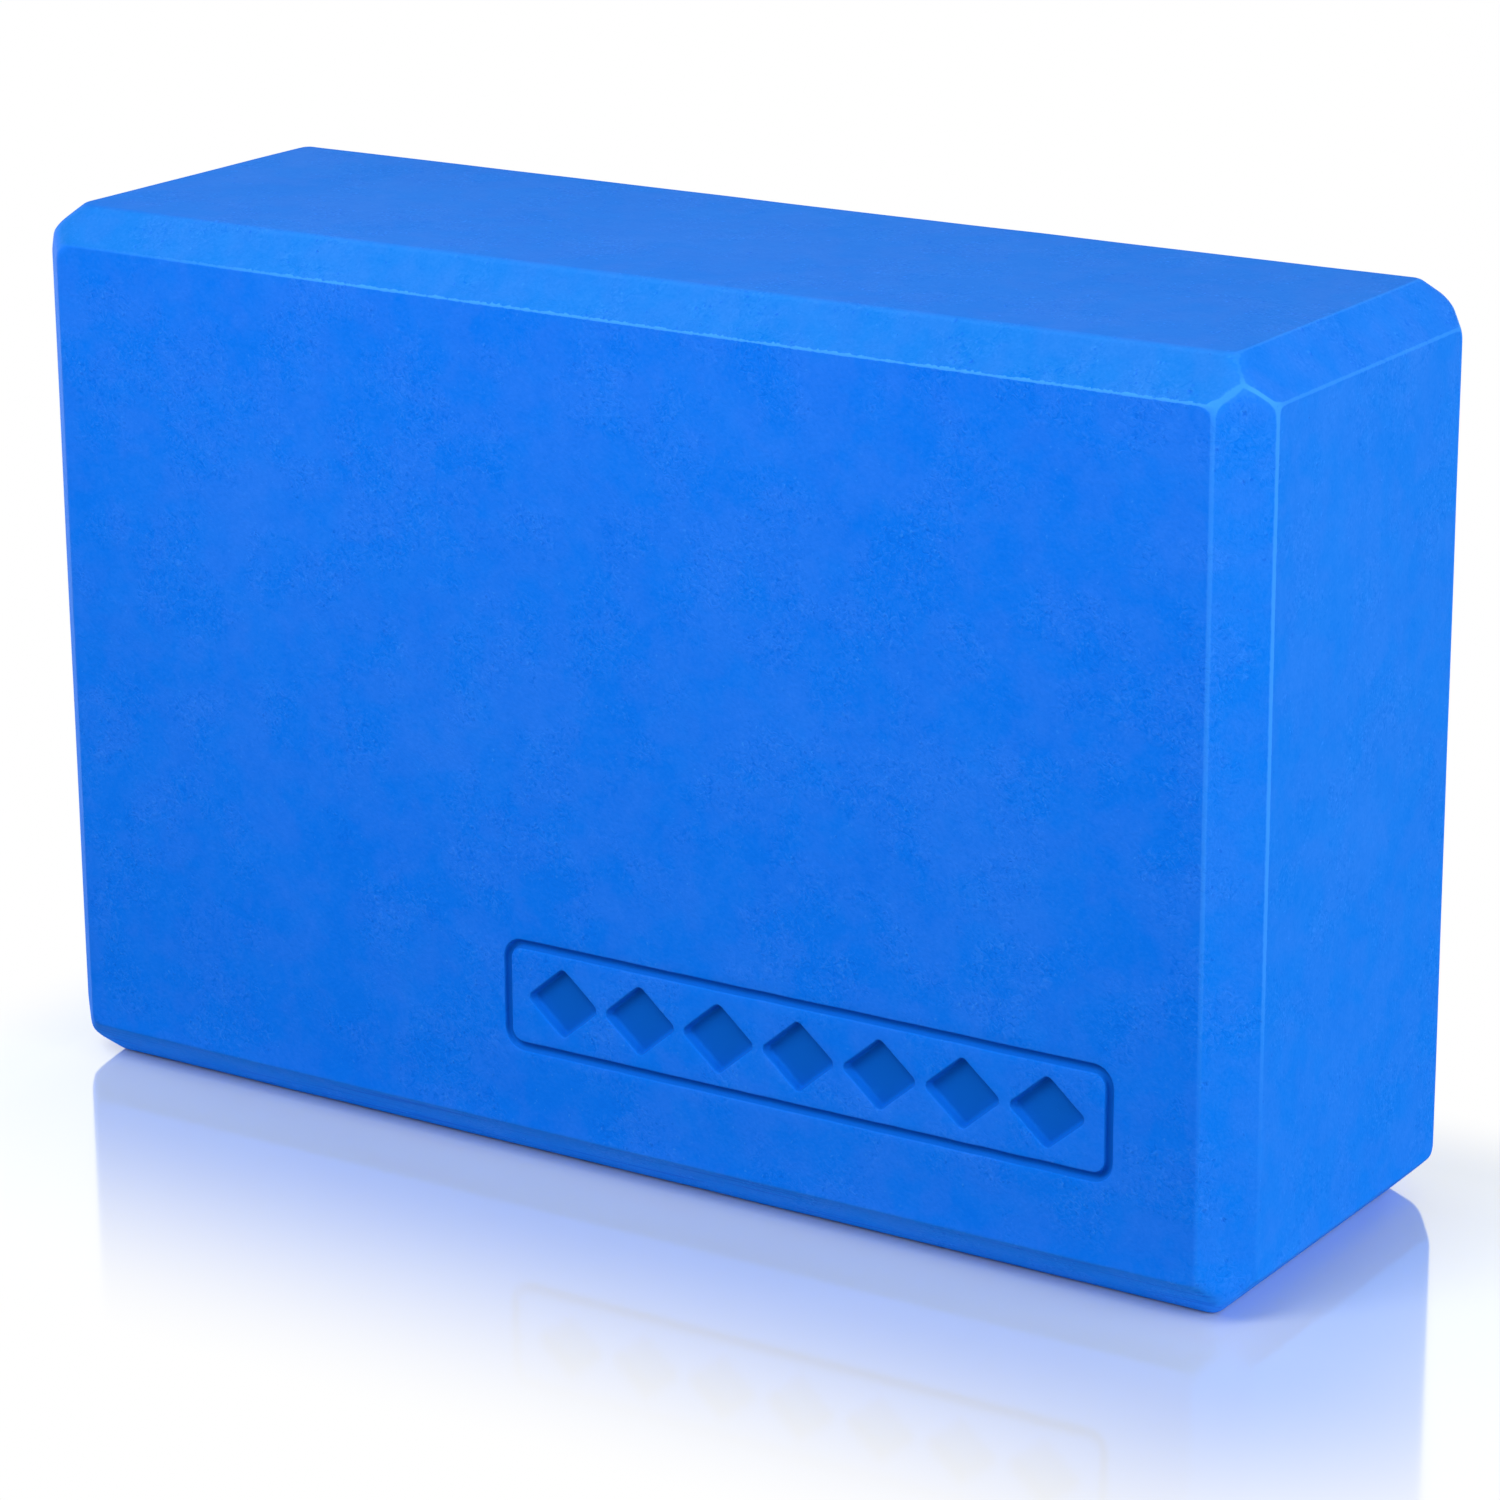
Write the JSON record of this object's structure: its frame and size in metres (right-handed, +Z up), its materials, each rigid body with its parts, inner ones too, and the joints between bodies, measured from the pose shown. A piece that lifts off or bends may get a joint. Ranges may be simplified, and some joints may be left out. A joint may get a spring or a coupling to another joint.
{
  "type": "foam exercise block",
  "caption": "Closed-cell foam exercise brick with bevelled and eased edges, and a shallow pressed band of lozenges on its broad front face.",
  "frame": {"origin": "centre of the underside, the long narrow side on which the block stands", "axes": "+X along the length, towards the end that the pressed band is nearer to; +Y through the thickness, away from the front face that carries the band; +Z up"},
  "size_m": [0.23, 0.075, 0.15],
  "materials": {
    "foam": "matte closed-cell foam with a fine grain and scattered small pits"
  },
  "bodies": {
    "root": {"foam_block": "foam"}
  },
  "joints": []
}
